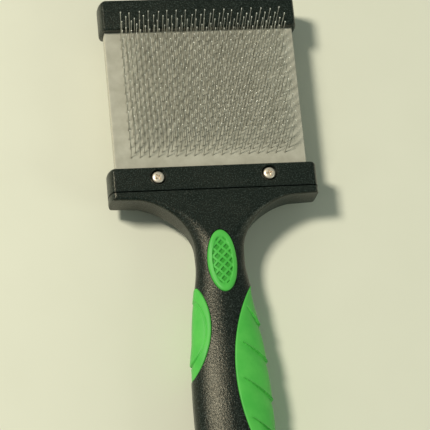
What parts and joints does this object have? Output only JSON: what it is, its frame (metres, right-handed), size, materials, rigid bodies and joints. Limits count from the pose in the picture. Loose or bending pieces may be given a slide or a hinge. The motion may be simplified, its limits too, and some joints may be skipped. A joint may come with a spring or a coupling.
{
  "type": "double-sided slicker brush",
  "caption": "Double-sided pet slicker brush: soft-grip handle, clamped flexible blade with bent wire pins on both faces, and an end cap.",
  "frame": {"origin": "under the middle of the brush's bounding box, on the surface that the rear pins rest on", "axes": "+X across the brush towards the ribbed finger grip, +Y along the handle towards the end cap, +Z out of the front pin field"},
  "size_m": [0.0986, 0.2516, 0.031],
  "materials": {
    "black_plastic": "fine spark-eroded grain, satin",
    "green_rubber": "soft overmould, satin",
    "screw_steel": "nickel plated",
    "foam_rubber": "matte",
    "white_plastic": "matte",
    "grey_cloth": "rubber-faced cloth with steel wire pins"
  },
  "bodies": {
    "handle": {"handle_core": "black_plastic", "front_thumb_pad": "green_rubber", "rear_thumb_pad": "green_rubber", "palm_grip": "green_rubber", "finger_grip": "green_rubber", "front_clamp_bar": "black_plastic", "rear_clamp_bar": "black_plastic", "left_clamp_screw": "screw_steel", "right_clamp_screw": "screw_steel", "left_clamp_nut": "screw_steel", "right_clamp_nut": "screw_steel"},
    "head": {"flex_core": "foam_rubber", "front_backing_plate": "white_plastic", "rear_backing_plate": "white_plastic", "front_pin_cloth": "grey_cloth", "rear_pin_cloth": "grey_cloth", "front_cap_shell": "black_plastic", "rear_cap_shell": "black_plastic", "left_cap_dowel": "white_plastic", "right_cap_dowel": "white_plastic"}
  },
  "joints": [
    {"name": "head_flex", "type": "hinge", "parent": "handle", "child": "head", "pos_m": [0, 0.06425, 0.0155], "axis": [1, 0, 0], "range_deg": [-15, 15], "stiffness_Nm_per_rad": 1.5, "deforming": ["flex_core", "front_backing_plate", "rear_backing_plate", "front_pin_cloth", "rear_pin_cloth"]}
  ]
}
